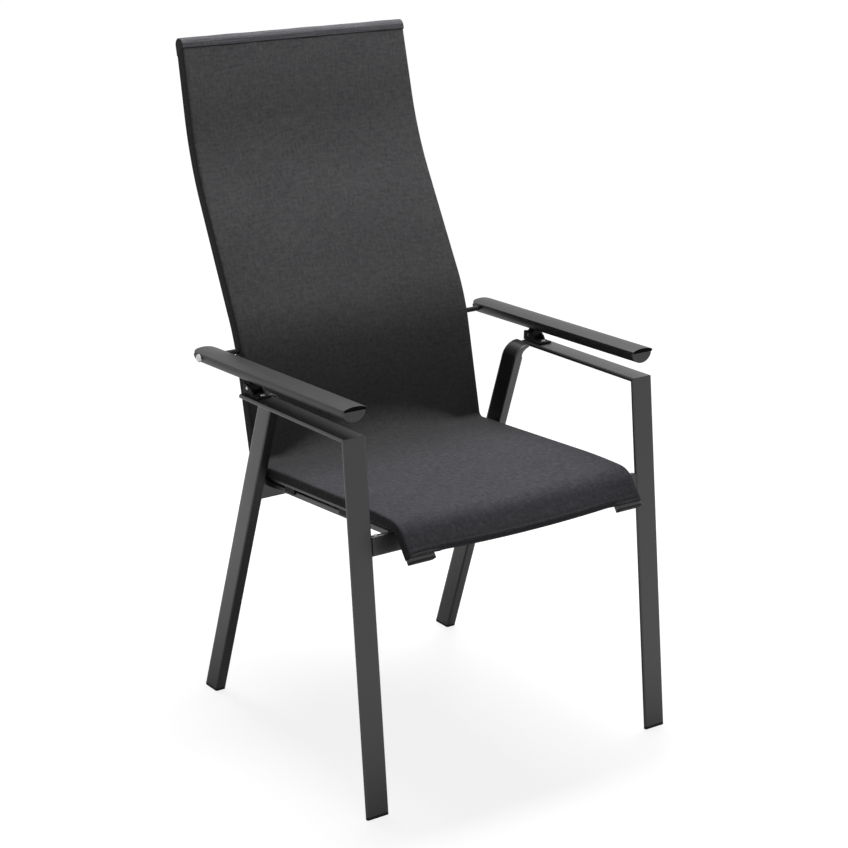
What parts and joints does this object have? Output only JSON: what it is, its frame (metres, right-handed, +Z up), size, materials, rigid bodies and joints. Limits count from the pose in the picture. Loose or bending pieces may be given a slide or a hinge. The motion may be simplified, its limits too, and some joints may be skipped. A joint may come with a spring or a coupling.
{
  "type": "reclining garden armchair",
  "caption": "High-back garden armchair with a stretched sling on flat bars; the back reclines while the seat glides and the armrests slide through swivelling guides.",
  "frame": {"origin": "on the floor, under the middle of the chair's bounding box", "axes": "+Z up; the sitter faces -Y; +X is the sitter's left"},
  "size_m": [0.6078, 0.6892, 1.0619],
  "materials": {
    "frame_paint": "dark grey satin powder coat",
    "sling_cloth": "dark grey fine-woven coated mesh, matte",
    "black_plastic": "black moulded plastic, matte",
    "grey_plastic": "dark grey moulded plastic, matte",
    "stainless": "bright stainless steel"
  },
  "bodies": {
    "frame": {"front_leg_left": "frame_paint", "front_leg_right": "frame_paint", "front_foot_left": "black_plastic", "front_foot_right": "black_plastic", "top_rail_left": "frame_paint", "top_rail_right": "frame_paint", "top_rail_plug_left": "frame_paint", "top_rail_plug_right": "frame_paint", "rear_leg_left": "frame_paint", "rear_leg_right": "frame_paint", "rear_foot_left": "black_plastic", "rear_foot_right": "black_plastic", "front_cross_bar": "frame_paint", "cross_bar_screw_left": "stainless", "cross_bar_screw_right": "stainless", "rear_cross_bar": "frame_paint", "support_rail_left": "frame_paint", "support_rail_right": "frame_paint", "guide_base_left": "black_plastic", "guide_screw_left": "stainless", "guide_axle_left": "stainless", "guide_base_right": "black_plastic", "guide_screw_right": "stainless", "guide_axle_right": "stainless"},
    "seat": {"seat_rail_left": "frame_paint", "seat_rail_right": "frame_paint", "seat_rail_cap_left": "black_plastic", "seat_rail_cap_right": "black_plastic", "seat_front_spreader": "frame_paint", "seat_rear_spreader": "frame_paint", "front_glide_shoe_left": "black_plastic", "front_glide_shoe_right": "black_plastic", "rear_glide_shoe_left": "black_plastic", "rear_glide_shoe_right": "black_plastic", "seat_hinge_lug_left": "grey_plastic", "seat_hinge_lug_right": "grey_plastic", "sling_seat": "sling_cloth"},
    "back": {"back_rail_left": "frame_paint", "back_rail_right": "frame_paint", "back_top_bar": "frame_paint", "back_spreader": "frame_paint", "back_hinge_fork_left": "grey_plastic", "back_hinge_fork_right": "grey_plastic", "hinge_pin_left": "stainless", "hinge_pin_right": "stainless", "armrest_spacer_left": "black_plastic", "armrest_spacer_right": "black_plastic", "armrest_pivot_bolt_left": "stainless", "armrest_pivot_bolt_right": "stainless", "sling_back": "sling_cloth"},
    "arm_left": {"armrest_cap_left": "frame_paint", "armrest_rail_left": "frame_paint", "armrest_front_plug_left": "grey_plastic", "armrest_rear_plug_left": "black_plastic"},
    "arm_right": {"armrest_cap_right": "frame_paint", "armrest_rail_right": "frame_paint", "armrest_front_plug_right": "grey_plastic", "armrest_rear_plug_right": "black_plastic"},
    "guide_left": {"guide_shoe_left": "black_plastic"},
    "guide_right": {"guide_shoe_right": "black_plastic"}
  },
  "joints": [
    {"name": "seat_glide", "type": "slide", "parent": "frame", "child": "seat", "axis": [0, -0.9972, 0.075], "range_m": [0, 0.0201]},
    {"name": "recline", "type": "hinge", "parent": "seat", "child": "back", "pos_m": [0, 0.08821, 0.41573], "axis": [-1, 0, 0], "range_deg": [0, 20]},
    {"name": "armrest_pivot_left", "type": "hinge", "parent": "back", "child": "arm_left", "pos_m": [0.279, 0.13802, 0.59653], "axis": [-1, 0, 0], "range_deg": [-12, 0]},
    {"name": "guide_swivel_left", "type": "hinge", "parent": "frame", "child": "guide_left", "pos_m": [0.279, 0.01462, 0.58014], "axis": [-1, 0, 0], "range_deg": [0, 9]},
    {"name": "armrest_pivot_right", "type": "hinge", "parent": "back", "child": "arm_right", "pos_m": [-0.279, 0.13802, 0.59653], "axis": [-1, 0, 0], "range_deg": [-12, 0]},
    {"name": "guide_swivel_right", "type": "hinge", "parent": "frame", "child": "guide_right", "pos_m": [-0.279, 0.01462, 0.58014], "axis": [-1, 0, 0], "range_deg": [0, 9]}
  ],
  "couplings": [
    {"joint": "seat_glide", "follows": "recline", "m_per_rad": 0.0573},
    {"joint": "armrest_pivot_left", "follows": "recline", "ratio": -0.565},
    {"joint": "guide_swivel_left", "follows": "recline", "ratio": 0.435},
    {"joint": "armrest_pivot_right", "follows": "recline", "ratio": -0.565},
    {"joint": "guide_swivel_right", "follows": "recline", "ratio": 0.435}
  ]
}
